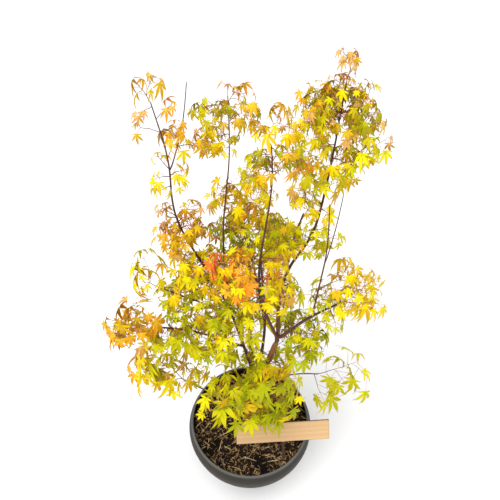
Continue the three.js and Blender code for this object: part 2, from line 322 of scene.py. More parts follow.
def plywood_finish():
    """Pale birch face with long grain, fine pores and a little browning by the cut edge."""
    f = Finish("birch_face", IOR=1.45)
    turned = f.node("ShaderNodeTexCoord", output="UV")
    along = f.node("ShaderNodeMapping", None, {"Vector": turned, "Scale": (9, 160, 1)})
    bands = f.node(
        "ShaderNodeTexWave",
        {"bands_direction": "Y"},
        {"Vector": along, "Scale": 0.16, "Distortion": 7.0, "Detail": 2.0, "Detail Scale": 0.6},
    )
    pores = f.speckle(f.node("ShaderNodeMapping", None, {"Vector": turned, "Scale": (120, 2600, 1)}), 1, 2)
    tone = f.ramp(bands * 0.15 + pores * 0.85, [(0.2, colour("c89c6a")), (0.8, colour("e0be8e"))])
    edge = f.node("ShaderNodeAttribute", {"attribute_name": "edge"}, output=2)
    f.feed("Base Color", f.blend(edge ** 2 * 0.8, tone, colour("7d4f2a")))
    f.feed("Roughness", pores * 0.2 + 0.5)
    f.bump(pores * 0.5 + bands * 0.5, 0.0002, 0.6)
    return f.material


def scorch_and_stake_shade_finish():
    """The tag's laser-cut edge, burnt brown with darker streaks; the whole stake wears it too, as painted shade."""
    f = Finish("scorched_edge")
    streaks = f.speckle(f.place((700, 700, 90)), 1, 3)
    f.feed("Base Color", f.ramp(streaks, [(0.3, colour("2c1c12")), (0.75, colour("5f3f26"))]))
    f.feed("Roughness", streaks * 0.2 + 0.6)
    f.bump(streaks, 0.0002)
    return f.material


def bark_finish():
    """Young maple bark: tan to olive on thick wood, purple-brown on thin, with pale lenticels."""
    f = Finish("maple_bark", IOR=1.45)
    girth = f.node("ShaderNodeAttribute", {"attribute_name": "age"}, output=2)
    place = f.place()
    streaks = f.speckle(f.node("ShaderNodeMapping", None, {"Vector": f.place(output="UV"), "Scale": (420, 60, 1)}), 1, 4)
    patches = f.speckle(place, 34, 3)
    young = f.ramp(streaks, [(0.3, colour("351a18")), (0.7, colour("643428"))])
    old = f.ramp(streaks * 0.6 + patches * 0.4, [(0.32, colour("764828")), (0.5, colour("a87038")), (0.68, colour("bd8e50"))])
    blush = f.blend(patches ** 2 * 0.6, old, colour("a45c38"))
    tone = f.blend(girth, young, blush)
    spots = f.node(
        "ShaderNodeTexVoronoi",
        None,
        {"Vector": f.node("ShaderNodeMapping", None, {"Vector": f.place(output="UV"), "Scale": (150, 330, 1)}), "Scale": 1.0, "Randomness": 1.0},
    )
    lenticel = (1 - spots * 5.0).clamped()
    f.feed("Base Color", f.blend(lenticel * 0.55, tone, colour("b99a7c")))
    f.feed("Roughness", streaks * 0.3 + 0.45)
    f.bump(streaks * 0.7 + lenticel * 0.8, 0.0005)
    return f.material


def stalk_finish(name, dark, light):
    """Thin green wood and leaf stalks, reddened by the sun."""
    f = Finish(name)
    clouds = f.speckle(f.place(), 45, 2)
    f.feed("Base Color", f.ramp(clouds, [(0.35, colour(dark)), (0.65, colour(light))]))
    f.feed("Roughness", clouds * 0.2 + 0.45)
    return f.material


# Autumn tints: three shades of the blade, its heart, and its lobe tips.
TINTS = {
    "rose": (("cf9c50", "c08a44", "dfb468"), "d4ac50", "b07a3c"),
    "orange": (("e2a41c", "d8921e", "eeb426"), "e0b422", "cc821e"),
    "amber": (("d0a414", "ba9212", "deb61a"), "cfaa1a", "b0801a"),
    "gold": (("e2c80c", "e8d010", "d8b00a"), "decb0c", "cc9c10"),
    "ember": (("ea6a30", "f0922a", "f4b02c"), "f0a02a", "d84a28"),
    "olive": (("b6a60c", "c4b20c", "98920c"), "aea80e", "a08410"),
    "lime": (("cac40a", "b6b00a", "dcd010"), "c2c00a", "ccb00c"),
    "green": (("a6a80a", "8e940a", "bab60c"), "9ca60a", "aca010"),
}


def leaf_finish(name, code):
    """A leaf's satin skin in one plain colour."""
    f = Finish(name, Base_Color=colour(code), IOR=1.4, Specular_IOR_Level=0.1, Roughness=0.6)
    return f.material


# ------------------------------------------------------------------ limbs

SLICE = 0.015  # spacing of the slices that find a limb's middle line
RING = 0.003  # spacing of the bark's rings
SMOOTHING = 30  # rounds that take the facets out of a middle line
COLLAR = 0.4  # swelling at a limb's foot, as a share of its radius there

STEMS = ("trunk", "left_stem", "right_stem", "mid_stem", "centre_stem", "right_back_stem", "centre_left_stem")
BOUGHS = (
    "right_slant", "right_arm", "bare_stem", "bare_twig", "left_bare_twig", "left_bough",
    "left_flank_bough", "low_left", "low_right", "front_left_bough", "front_right_bough",
    "back_bough", "back_low_bough",
)
BARE = ("bare_stem", "bare_twig", "left_bare_twig", "centre_left_stem")


def node_arrays(name):
    """A CAD node's corners and triangles."""
    mesh = frame["nodes"][name].data
    corners = np.array([v.co for v in mesh.vertices], float)
    mesh.calc_loop_triangles()
    return corners, np.array([t.vertices for t in mesh.loop_triangles])


def limb_line(name):
    """Middle points and radii of a limb from foot to tip, from slices square to its length."""
    corners, faces = node_arrays(name)
    middle = corners.mean(0)
    axis = np.linalg.svd(corners - middle, full_matrices=False)[2][0]
    axis *= np.sign(axis[2])
    heights = (corners - middle) @ axis
    low, high = heights.min(), heights.max()
    count = max(5, int((high - low) / SLICE))
    margin = min(0.006, (high - low) * 0.1)
    centres, crossings = [], []
    for level in np.linspace(low + margin, high - margin, count):
        ends = []
        for a, b in ((0, 1), (1, 2), (2, 0)):
            first, second = heights[faces[:, a]] - level, heights[faces[:, b]] - level
            crossed = first * second < 0
            share = np.where(crossed, first / np.where(crossed, first - second, 1), 0)[:, None]
            points = corners[faces[:, a]] * (1 - share) + corners[faces[:, b]] * share
            ends.append((crossed, points))
        cut = sum(c.astype(int) for c, _ in ends) == 2
        if not cut.any():
            continue
        total = sum(np.where(c[:, None], p, 0) for c, p in ends)[cut]
        pair = np.stack([p for _, p in ends], 1)[cut]
        used = np.stack([c for c, _ in ends], 1)[cut]
        two = pair[used].reshape(-1, 2, 3)
        length = np.linalg.norm(two[:, 0] - two[:, 1], axis=1) + 1e-9
        centres.append((total / 2 * length[:, None]).sum(0) / length.sum())
        crossings.append((two, length))
    centres = np.array(centres)
    ways = np.gradient(centres, axis=0)
    ways /= np.linalg.norm(ways, axis=1)[:, None]
    radii = []
    for centre, way, (two, length) in zip(centres, ways, crossings):
        arms = two.mean(1) - centre
        arms -= (arms @ way)[:, None] * way
        radii.append((np.linalg.norm(arms, axis=1) * length).sum() / length.sum() * 1.12)
    return centres, np.array(radii)


def evenly(points, radii, step):
    """The same line with points at an even spacing."""
    spans = np.r_[0, np.cumsum(np.linalg.norm(np.diff(points, axis=0), axis=1))]
    places = np.linspace(0, spans[-1], max(3, int(spans[-1] / step)))
    line = np.stack([np.interp(places, spans, points[:, k]) for k in range(3)], 1)
    return line, np.interp(places, spans, radii)


def smoothed(points, rounds):
    points = points.copy()
    for _ in range(rounds):
        points[1:-1] = (points[:-2] + 2 * points[1:-1] + points[2:]) / 4
    return points


class Wood:
    """Every place on the wood that a twig can leave from: where, which way, how thick."""

    def __init__(self):
        self.places, self.ways, self.girths = [], [], []

    def add(self, points, radii):
        ways = np.gradient(points, axis=0)
        ways /= np.linalg.norm(ways, axis=1)[:, None] + 1e-12
        self.places.extend(points)
        self.ways.extend(ways)
        self.girths.extend(radii)

    def start_for(self, goal):
        """The best place for a twig that ends at goal: near, and not behind the growth."""
        places, ways = np.array(self.places), np.array(self.ways)
        arms = goal - places
        reach = np.linalg.norm(arms, axis=1) + 1e-9
        forward = (arms * ways).sum(1) / reach
        cost = reach * (1 + 1.2 * np.clip(0.45 - forward, 0, None)) + 0.02 * (reach < 0.012)
        best = int(cost.argmin())
        return places[best], ways[best], self.girths[best]


def mass_solid(name):
    mesh = frame["nodes"][name].data
    tree = BVHTree.FromPolygons([v.co for v in mesh.vertices], [p.vertices for p in mesh.polygons])
    return tree


def depth_inside(solid, point):
    """How deep a point lies in a closed solid; below 0 outside."""
    near, normal, _, distance = solid.find_nearest(Vector(point))
    return distance if (Vector(point) - near).dot(normal) < 0 else -distance


MASSES = sorted(
    s["node"] for s in frame["record"]["subparts"] if s["material_slot"].startswith("leaf_")
)
TINT_OF = {
    s["node"]: s["material_slot"].removeprefix("leaf_")
    for s in frame["record"]["subparts"]
    if s["node"] in MASSES
}
SOLIDS = {name: mass_solid(name) for name in MASSES}


def mass_at(point, within):
    """The mass that a point lies in or within that distance of, or None."""
    found = max(MASSES, key=lambda name: depth_inside(SOLIDS[name], point))
    return found if depth_inside(SOLIDS[found], point) > -within else None


def run_on(points, radii):
    """Carries a limb that ends at a mass on into it, thinning to a twig."""
    mass = mass_at(points[-1], 0.004)
    if mass is None:
        return points, radii
    corners, _ = node_arrays(mass)
    heart = (corners.min(0) + corners.max(0)) / 2
    way = points[-1] - points[-4]
    way /= np.linalg.norm(way)
    reach = np.linalg.norm(heart - points[-1])
    goal = heart + (heart - points[-1]) * 0.35
    pull = points[-1] + way * reach * 0.6
    shares = np.linspace(0, 1, max(4, int(reach / RING)))[1:, None]
    added = (1 - shares) ** 2 * points[-1] + 2 * shares * (1 - shares) * pull + shares ** 2 * goal
    thin = radii[-1] + (0.0006 - radii[-1]) * shares[:, 0] ** 0.8
    return np.vstack([points, added]), np.r_[radii, thin]


def read_limbs():
    """Every limb's smooth middle line and radii, its foot sunk in the limb that carries it."""
    lines = {}
    for name in STEMS + BOUGHS:
        points, radii = evenly(*limb_line(name), RING)
        points, radii = smoothed(points, SMOOTHING), smoothed(radii, SMOOTHING)
        low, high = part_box(name)
        if name == "trunk":
            foot = np.array([points[0][0], points[0][1], low.z - 0.008])
            points, radii = np.vstack([foot, points]), np.r_[radii[0], radii]
        else:
            others = np.vstack([line for line, _ in lines.values()])
            nearest = others[np.linalg.norm(others - points[0], axis=1).argmin()]
            points, radii = np.vstack([nearest, points]), np.r_[radii[0], radii]
        if name not in BARE:
            points, radii = run_on(points, radii)
        points, radii = evenly(points, radii, RING)
        lines[name] = (smoothed(points, 12), radii)
    return lines


def limb_mesh(points, radii, seed, flare):
    """Corners, faces, places for the pattern and ages of one limb with bark relief."""
    sides = int(np.clip(radii.max() * 2 * math.pi / 0.0028, 8, 28))
    ways = np.gradient(points, axis=0)
    ways /= np.linalg.norm(ways, axis=1)[:, None]
    normal = Vector(ways[0]).orthogonal().normalized()
    along = np.r_[0, np.cumsum(np.linalg.norm(np.diff(points, axis=0), axis=1))]
    rng = random.Random(seed)
    joints = []  # where pairs of leaves once stood
    place = rng.uniform(0.02, 0.05)
    while place < along[-1]:
        joints.append(place)
        place += rng.uniform(0.035, 0.07)
    corners, tags = [], []
    for i, (point, way, radius) in enumerate(zip(points, ways, radii)):
        way = Vector(way)
        normal = (normal - way * normal.dot(way)).normalized()
        across = way.cross(normal)
        collar = COLLAR * math.exp(-along[i] / (3 * radii[0] + 0.002))
        joint = sum(math.exp(-(((along[i] - j) / 0.0022) ** 2)) for j in joints)
        tip = min(1.0, (along[-1] - along[i]) / (2.5 * radius) + 0.12) ** 0.5
        for k in range(sides):
            angle = 2 * math.pi * k / sides
            ridge = noise.noise(Vector((math.cos(angle) * 2.2, math.sin(angle) * 2.2, along[i] * 22 + seed)))
            fine = noise.noise(Vector((math.cos(angle) * 5, math.sin(angle) * 5, along[i] * 90 - seed)))
            roots = flare * max(0, math.cos(5 * angle + 1.1)) * math.exp(-along[i] / 0.014)
            relief = 1 + 0.09 * ridge + 0.05 * fine + 0.10 * joint + collar + roots
            arm = normal * math.cos(angle) + across * math.sin(angle)
            corners.append(Vector(point) + arm * radius * relief * tip)
            tags.append(radius)
    faces, spots = [], []
    girth = 2 * math.pi * radii[0]
    for i in range(len(points) - 1):
        for k in range(sides):
            n = (k + 1) % sides
            faces.append((i * sides + k, i * sides + n, (i + 1) * sides + n, (i + 1) * sides + k))
            u, w = k / sides * girth, (k + 1) / sides * girth
            spots.extend([(u, along[i]), (w, along[i]), (w, along[i + 1]), (u, along[i + 1])])
    last = len(points) - 1
    for ring, end, turn in ((0, points[0], -1), (last, points[-1], 1)):
        corners.append(Vector(end))
        tags.append(radii[ring])
        for k in range(sides):
            a, b = ring * sides + k, ring * sides + (k + 1) % sides
            faces.append((a, b, len(corners) - 1) if turn > 0 else (b, a, len(corners) - 1))
            spots.extend([(0, along[ring])] * 3)
    return corners, faces, spots, tags


def bark_piece(name, limbs, lines, material):
    """The limbs joined in one mesh of bark that stands for their CAD nodes."""
    corners, faces, spots, tags = [], [], [], []
    for limb in limbs:
        points, radii = lines[limb]
        seed = (STEMS + BOUGHS).index(limb) * 3.7
        c, f, s, t = limb_mesh(points, radii, seed, 0.28 if limb == "trunk" else 0)
        faces.extend(tuple(i + len(corners) for i in face) for face in f)
        corners.extend(c)
        spots.extend(s)
        tags.extend(t)
    mesh = bpy.data.meshes.new(name)
    mesh.from_pydata(corners, [], faces)
    layer = mesh.uv_layers.new(name="bark")
    layer.data.foreach_set("uv", np.array(spots).ravel())
    ages = np.clip((np.array(tags) - 0.0028) / 0.0045, 0, 1)
    add_attribute(mesh, "age", "FLOAT", "POINT", ages)
    mesh.materials.append(material)
    mesh.shade_smooth()
    piece = show(name, mesh)
    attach(piece, "root")
    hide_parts(*limbs)
    return piece


# ------------------------------------------------------------------ leaves

# Angle and length of the lobes on one side, from the middle lobe out.
LOBES = {
    7: ((0, 1.0), (34, 0.88), (68, 0.62), (108, 0.3)),
    5: ((0, 1.0), (39, 0.82), (82, 0.46)),
}
LOBE_WIDTH = 0.13  # half a lobe's greatest width, as a share of its length
SINUS = 0.2  # how near the heart two lobes meet
# lobes, how far the blade arches down, the fold along each lobe's rib, and a lean of the lobes
LEAF_FORMS = (
    (7, 0.45, 0.30, 0.04), (7, 0.90, 0.45, -0.06), (5, 0.40, 0.35, 0.08),
    (5, 1.00, 0.55, -0.10), (5, 0.75, 0.50, 0.0), (5, 0.60, 0.20, -0.04),
)
BLADE, TIP, HEART = 0, 1, 2  # zones of a leaf


def leaf_form(index, lobes, arch, fold, lean):
    """One palmate leaf, a unit long, its stalk at the origin and its middle lobe along +Y."""
    fan = LOBES[lobes]
    spread = [(-a, length) for a, length in fan[:0:-1]] + list(fan)
    corners, faces, zones = [(0, 0, 0)], [], []

    def add(angle, radius, side, lift):
        turned = math.radians(angle) + lean * radius
        x = math.sin(turned) * radius + math.cos(turned) * side
        y = math.cos(turned) * radius - math.sin(turned) * side
        reach = math.hypot(x, y)
        corners.append((x, y, lift - arch * reach ** 2 * 0.62))
        return len(corners) - 1

    first = add(spread[0][0] - 24, 0.10, 0, 0.01)
    before = first
    for i, (angle, length) in enumerate(spread):
        width = LOBE_WIDTH * length
        rib = [add(angle, length * t, 0, 0) for t in (0.22, 0.5, 0.78)]
        tip = add(angle, length, 0, -0.07 * arch)
        if i + 1 < len(spread):
            middle = (angle + spread[i + 1][0]) / 2
            after = add(middle, SINUS * min(length, spread[i + 1][1]) + 0.03, 0, 0.02 + fold * 0.05)
        else:
            after = add(angle + 24, 0.10, 0, 0.01)
        for side, sinus in ((-1, before), (1, after)):
            wide = add(angle, length * 0.46, side * width, fold * width)
            slim = add(angle, length * 0.74, side * width * 0.6, fold * width * 0.6)
            parts = [
                ((0, sinus, rib[0]), HEART),
                ((rib[0], sinus, wide, rib[1]), BLADE),
                ((rib[1], wide, slim, rib[2]), BLADE),
                ((rib[2], slim, tip), TIP),
            ]
            for part, zone in parts:
                faces.append(part if side < 0 else part[::-1])
                zones.append(zone)
        before = after
    mesh = bpy.data.meshes.new(f"leaf_form_{index}")
    mesh.from_pydata(corners, [], [face[::-1] for face in faces])
    add_attribute(mesh, "zone", "INT", "FACE", zones)
    mesh.shade_smooth()
    return bpy.data.objects.new(mesh.name, mesh)


def leaf_recipe():
    """Sets leaves on points by their turn, size and form, and gives each zone its shade."""
    inputs = {"Forms": "Collection", "Tip": "Material", "Heart": "Material"}
    r = Recipe("sprays_of_leaves", **inputs, Shade0="Material", Shade1="Material", Shade2="Material")
    forms = r.node(
        "GeometryNodeCollectionInfo",
        None,
        {"Collection": r.given("Forms"), "Separate Children": True, "Reset Children": True},
    )
    turn = r.node("FunctionNodeEulerToRotation", None, {0: r.attribute("turn", "FLOAT_VECTOR")})
    leaves = r.node(
        "GeometryNodeInstanceOnPoints",
        None,
        {
            "Points": r.given("Geometry"),
            "Instance": forms,
            "Pick Instance": True,
            "Instance Index": r.attribute("form", "INT"),
            "Rotation": turn,
            "Scale": r.attribute("size", "FLOAT_VECTOR"),
        },
    )
    made = r.node("GeometryNodeRealizeInstances", None, {0: leaves})

    def painted(geometry, attribute, number, material):
        chosen = r.node(
            "FunctionNodeCompare",
            {"data_type": "INT", "operation": "EQUAL"},
            {2: r.attribute(attribute, "INT"), 3: number},
        )
        sockets = {"Geometry": geometry, "Selection": chosen, "Material": r.given(material)}
        return r.node("GeometryNodeSetMaterial", None, sockets)

    for number in range(3):
        made = painted(made, "shade", number, f"Shade{number}")
    made = painted(made, "zone", TIP, "Tip")
    made = painted(made, "zone", HEART, "Heart")
    r.finish(made)
    return r


# ------------------------------------------------------------------ growth

SPRAYS_PER_LITRE = 54  # sprays of leaves for each litre of a mass
LEAST_SPRAYS = 2
HANG = 0.36  # how far a twig's tip is lifted, as its leaves hang below it, as a share of their size
GAP_SIZE = 26  # waves in a metre of the noise that leaves gaps between sprays
GAP_SHARE = -0.05  # below this level of the noise nothing grows
FULLNESS = {  # sprays in masses that are thinner or thicker than the rest, as a share
    "left_top_spray": 0.3, "left_leader_spray": 0.35, "left_low_spray": 0.25, "left_fork_spray": 0.5,
    "left_flank": 0.35, "left_end": 0.6, "left_foot": 0.65, "left_bough_spray": 0.9,
    "left_shoulder": 1.4, "left_inner": 0.9, "left_mid": 1.1,
    "right_reach": 0.7, "right_foot": 0.4, "right_pocket": 0.8, "right_arm_mid": 1.3,
    "right_arm_end": 0.75, "right_tip": 0.7, "right_crown": 1.4, "right_crown_inner": 1.2,
    "right_skirt": 1.3, "right_hem": 1.4,
    "centre_left_top": 1.1, "centre_left_skirt": 1.4, "centre_upper": 1.1, "centre_back": 0.9,
    "middle": 1.4, "middle_left": 1.6, "middle_right": 1.15,
    "front_low": 0.2, "front_left": 0.3, "front_right": 0.3, "back_high": 0.5, "back_low": 0.33,
}
NODE_SPACING = (0.014, 0.024)  # between pairs of leaves along a twig
WIDE_LEAF = 0.034  # larger leaves stand further apart
TWIG_TIP = 0.00045
LEAF_SIZES = ((0.3, 0.056), (0.46, 0.050), (0.56, 0.036), (0.8, 0.030), (1.1, 0.025))  # height, lobe length
BROAD_LEAVES = {"left_end": 1.4, "left_flank": 1.3, "left_foot": 1.1}  # size there, as a share
STALK = 0.6  # length of a leaf's stalk, as a share of its lobe's
DROOP = 55  # degrees that a leaf hangs below level
LIGHT_SIDE = Vector((0, -0.35, 0))  # the side that leaves turn to
CLEARANCE = 0.005  # how far leaves may stand out of the CAD box

OPEN_SIDE = np.array((0, -0.67, 0.74))  # the side on which leaves part before a stem
PARTING = 0.007  # half the width of that parting
PARTING_DEPTH = 0.11
PARTING_FROM = 0.5  # height above which stems have it

SHOOT_SPACING = (0.018, 0.034)  # between short shoots along a limb
SHOOT_REACH = 0.024  # how far from a mass they grow
SHOOTS_FROM = 0.26  # height above which they grow
SHOOTS_UP_TO = 0.0042  # radius of the thickest wood that has them
FOOT_SHOOTS = (0.395, 0.5)  # heights between which thick wood has them too
FOOT_REACH = 0.12  # how far from a mass they grow there
YOUNG_TINTS = ("rose", "amber", "orange")  # of the small leaves at a spray's tip
YOUNG_SHARE = {"green": 0.02, "lime": 0.07}  # of the sprays that have them
USUAL_YOUNG = 0.15  # the same share in masses of the other tints
TOP_YOUNG = ((0.85, 0.0), (1.05, 0.4))  # height, and what it adds to that share
NEIGHBOUR_TINTS = {
    "rose": ("amber", "gold", "amber"),
    "orange": ("gold", "amber", "rose"),
    "amber": ("orange", "gold", "orange", "rose", "olive"),
    "gold": ("lime", "gold", "amber", "lime", "olive"),
    "ember": ("gold", "orange", "gold", "orange", "lime"),
    "olive": ("lime", "gold", "amber"),
    "lime": ("gold", "green", "lime", "gold"),
    "green": ("lime", "lime", "gold", "green"),
}
OWN_SHARE = {"ember": 0.25}  # of a mass's sprays in its own tint, where it isn't USUAL_SHARE
USUAL_SHARE = 0.66


class Crown:
    """The twigs, stalks and leaves of the whole tree as they are grown."""

    def __init__(self, stems):
        self.stems = stems  # places on the stems that leaves part before
        self.twigs = []  # (points, radii)
        self.stalks = []
        self.leaves = {tint: [] for tint in TINTS}  # (place, turn, size, form, shade)


def leaf_size(mass, height):
    """How long a full-grown leaf's middle lobe is in a mass at a height."""
    heights, sizes = zip(*LEAF_SIZES)
    return float(np.interp(height, heights, sizes)) * BROAD_LEAVES.get(mass, 1)


def young_share(tint, height):
    heights, added = zip(*TOP_YOUNG)
    return YOUNG_SHARE.get(tint, USUAL_YOUNG) + float(np.interp(height, heights, added))


def within_box(point, spare):
    low, high = cad_box
    return all(low[k] - spare < point[k] < high[k] + spare for k in range(3)) and point[2] > 0.2


def hides_stem(stems, point):
    arms = np.array(point) - stems
    ahead = arms @ OPEN_SIDE
    aside = np.linalg.norm(arms - ahead[:, None] * OPEN_SIDE, axis=1)
    return bool(((ahead > 0) & (ahead < PARTING_DEPTH) & (aside < PARTING)).any())


def add_leaf(crown, rng, tint, node, way, out, size):
    """One leaf: a stalk that leaves the twig sideways, and a blade that hangs from it."""
    way, out = Vector(way).normalized(), Vector(out).normalized()
    lift = UP * rng.uniform(-0.05, 0.35)
    stray = Vector([rng.uniform(-0.3, 0.3) for _ in range(3)])
    aim = (out * 0.9 + way * 0.55 + lift + stray).normalized()
    length = size * STALK * rng.uniform(0.8, 1.3)
    start = Vector(node)
    bend = start + aim * length * 0.6
    end = start + aim * length - UP * length * 0.12
    level = Vector((aim.x, aim.y, 0))
    if level.length < 0.2:
        level = Vector((rng.uniform(-1, 1), rng.uniform(-1, 1), 0))
    level = (level.normalized() + LIGHT_SIDE).normalized()
    droop = math.radians(min(85, max(15, rng.gauss(DROOP, 15))))
    rib = (level * math.cos(droop) - UP * math.sin(droop)).normalized()
    face = (UP - rib * UP.dot(rib)).normalized()
    face.rotate(Matrix.Rotation(rng.gauss(0, 0.35), 3, rib))
    side = rib.cross(face)
    reach = end + rib * size
    if not (within_box(reach, CLEARANCE) and within_box(end + side * size * 0.7, CLEARANCE)):
        return
    if not within_box(end - side * size * 0.7, CLEARANCE):
        return
    if rng.random() < 0.85 and hides_stem(crown.stems, end + rib * size * 0.5):
        return
    turn = Matrix((side, rib, face)).transposed().to_euler()
    crown.stalks.append((np.array([start, bend, end]), np.array([0.00048, 0.0004, 0.00036])))
    stretch = (size * rng.uniform(0.82, 1.05), size, size * rng.uniform(0.8, 1.2))
    form, shade = rng.randrange(len(LEAF_FORMS)), rng.choice((0, 0, 1, 2))
    crown.leaves[tint].append((end, turn, stretch, form, shade))


def add_pairs(crown, rng, tint, young, points, size):
    """Opposite pairs of leaves from a twig's tip back, each pair turned from the last."""
    spans = np.r_[0, np.cumsum(np.linalg.norm(np.diff(points[::-1], axis=0), axis=1))]
    back = points[::-1]
    place, pair = 0.0, 0
    turned = rng.uniform(-0.5, 0.5)
    leafy = min(spans[-1] * 0.8, rng.uniform(0.045, 0.075))
    while place <= leafy:
        node = np.array([np.interp(place, spans, back[:, k]) for k in range(3)])
        ahead = np.array([np.interp(max(place - 0.004, 0), spans, back[:, k]) for k in range(3)])
        behind = np.array([np.interp(place + 0.004, spans, back[:, k]) for k in range(3)])
        way = Vector(ahead - behind).normalized()
        side = way.cross(UP)
        side = side.normalized() if side.length > 0.15 else way.orthogonal().normalized()
        upright = abs(way.z) > 0.75
        turned += math.pi / 2 if upright else rng.uniform(-0.5, 0.5)
        side.rotate(Matrix.Rotation(turned if upright else turned * 0.6, 3, way))
        growth = 0.7 if pair == 0 else 0.88 if pair == 1 else 1.0
        dress = young if pair == 0 else tint
        for out in (side, -side):
            if rng.random() < 0.9:
                add_leaf(crown, rng, dress, node, way, out, size * growth * rng.triangular(0.6, 1.5, 0.9))
        if pair == 0 and rng.random() < 0.6:
            add_leaf(crown, rng, dress, node, way, way, size * rng.uniform(0.6, 0.9))
        place += rng.uniform(*NODE_SPACING) * (1.0 if place else 0.8) * max(1, size / WIDE_LEAF)
        pair += 1


def twig_line(start, way, goal, rng):
    """A curved twig from the wood to its tip: out at an angle, then level and a little down."""
    start, way, goal = Vector(start), Vector(way), Vector(goal)
    straight = goal - start
    reach = straight.length
    aim = straight.normalized()
    leave = (way * 0.5 + aim).normalized()
    level = Vector((aim.x, aim.y, aim.z * 0.4 + 0.05)).normalized()
    first, second = start + leave * reach * 0.35, goal - level * reach * 0.3
    steps = max(4, int(reach / 0.009))
    points = []
    for i in range(steps + 1):
        t = i / steps
        point = (
            start * (1 - t) ** 3 + first * 3 * t * (1 - t) ** 2
            + second * 3 * t ** 2 * (1 - t) + goal * t ** 3
        )
        wander = Vector([rng.uniform(-1, 1) for _ in range(3)]) * 0.0012 * math.sin(math.pi * t)
        points.append(point + wander)
    return np.array(points)


def spray_tips(name, rng):
    """Tips spread evenly through a mass, mostly near its skin."""
    solid = SOLIDS[name]
    low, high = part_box(name)
    volume = mass_volume(name) * 1000
    wanted = max(LEAST_SPRAYS, round(volume * SPRAYS_PER_LITRE * FULLNESS.get(name, 1)))
    tips, tries = [], 0
    while len(tips) < wanted and tries < 400:
        tries += 1
        best, room = None, -1
        for _ in range(14):
            point = Vector([rng.uniform(low[k], high[k]) for k in range(3)])
            depth = depth_inside(solid, point)
            if depth < 0.003 or (depth > 0.022 and rng.random() > 0.35):
                continue
            if depth < 0.012 and noise.noise(point * GAP_SIZE) < GAP_SHARE:
                continue
            gap = min([(point - tip).length for tip in tips], default=1)
            if gap > room:
                best, room = point, gap
        if best is not None:
            tips.append(best)
    return [tip + UP * HANG * leaf_size(name, tip.z) for tip in tips]


def mass_volume(name):
    corners, faces = node_arrays(name)
    a, b, c = (corners[faces[:, k]] for k in range(3))
    return abs((a * np.cross(b, c)).sum()) / 6


def grow_mass(crown, wood, name, seed):
    rng = random.Random(seed)
    tint = TINT_OF[name]
    tips = spray_tips(name, rng)
    places = np.array(wood.places)
    tips.sort(key=lambda tip: np.linalg.norm(places - np.array(tip), axis=1).min())
    for tip in tips:
        start, way, girth = wood.start_for(np.array(tip))
        points = twig_line(start, way, tip, rng)
        foot = min(girth * 0.75, 0.0011)
        radii = np.linspace(foot, TWIG_TIP, len(points))
        crown.twigs.append((points, radii))
        wood.add(points[2:], radii[2:])
        own = tint if rng.random() < OWN_SHARE.get(tint, USUAL_SHARE) else rng.choice(NEIGHBOUR_TINTS[tint])
        young = rng.choice(YOUNG_TINTS) if rng.random() < young_share(tint, tip.z) else own
        add_pairs(crown, rng, own, young, points, leaf_size(name, tip.z))


def grow_short_shoots(crown, wood, lines):
    """Short leafy shoots along the stems and boughs, between the masses."""
    for name, (points, radii) in lines.items():
        if name in BARE:
            continue
        rng = random.Random(name)
        along = np.r_[0, np.cumsum(np.linalg.norm(np.diff(points, axis=0), axis=1))]
        place = rng.uniform(0.03, 0.08)
        while place < along[-1] - 0.01:
            i = int(np.searchsorted(along, place))
            place += rng.uniform(*SHOOT_SPACING)
            by_foot = FOOT_SHOOTS[0] < points[i][2] < FOOT_SHOOTS[1]
            mass = mass_at(points[i], FOOT_REACH if by_foot else SHOOT_REACH)
            if mass is None or points[i][2] < SHOOTS_FROM:
                continue
            if radii[i] > SHOOTS_UP_TO and not by_foot:
                continue
            way = Vector(points[min(i + 1, len(points) - 1)] - points[i - 1]).normalized()
            side = way.orthogonal().normalized()
            side.rotate(Matrix.Rotation(rng.uniform(0, 2 * math.pi), 3, way))
            side = (side + LIGHT_SIDE * 1.5 + way * 0.5 + UP * 0.2).normalized()
            goal = Vector(points[i]) + side * rng.uniform(0.02, 0.045)
            line = twig_line(points[i], side, goal, rng)
            thin = np.linspace(min(radii[i] * 0.6, 0.0009), TWIG_TIP, len(line))
            crown.twigs.append((line, thin))
            tint = TINT_OF[mass]
            own = tint if rng.random() < OWN_SHARE.get(tint, USUAL_SHARE) else rng.choice(NEIGHBOUR_TINTS[tint])
            add_pairs(crown, rng, own, own, line, leaf_size(mass, goal.z) * 0.9)


def wire_mesh(name, lines):
    """Lines as loose edges whose corners know their girth."""
    corners, edges, girths = [], [], []
    for points, radii in lines:
        base = len(corners)
        corners.extend(map(tuple, points))
        girths.extend(radii)
        edges.extend((base + i, base + i + 1) for i in range(len(points) - 1))
    mesh = bpy.data.meshes.new(name)
    mesh.from_pydata(corners, edges, [])
    add_attribute(mesh, "girth", "FLOAT", "POINT", girths)
    return show(name + "_lines", mesh)


def wire_recipe():
    """Thin round wood along loose edges, as thick as their girth."""
    r = Recipe("thin_wood", Sides="Int", Wood="Material")
    line = r.node("GeometryNodeMeshToCurve", None, {0: r.given("Geometry")})
    ring = r.node("GeometryNodeCurvePrimitiveCircle", None, {"Resolution": r.given("Sides"), "Radius": 1.0})
    sizes = {"Curve": line, "Profile Curve": ring, "Scale": r.attribute("girth"), "Fill Caps": True}
    tube = r.node("GeometryNodeCurveToMesh", None, sizes)
    whole = r.node("GeometryNodeRealizeInstances", None, {0: tube})
    r.finish(r.node("GeometryNodeSetMaterial", None, {"Geometry": whole, "Material": r.given("Wood")}))
    return r


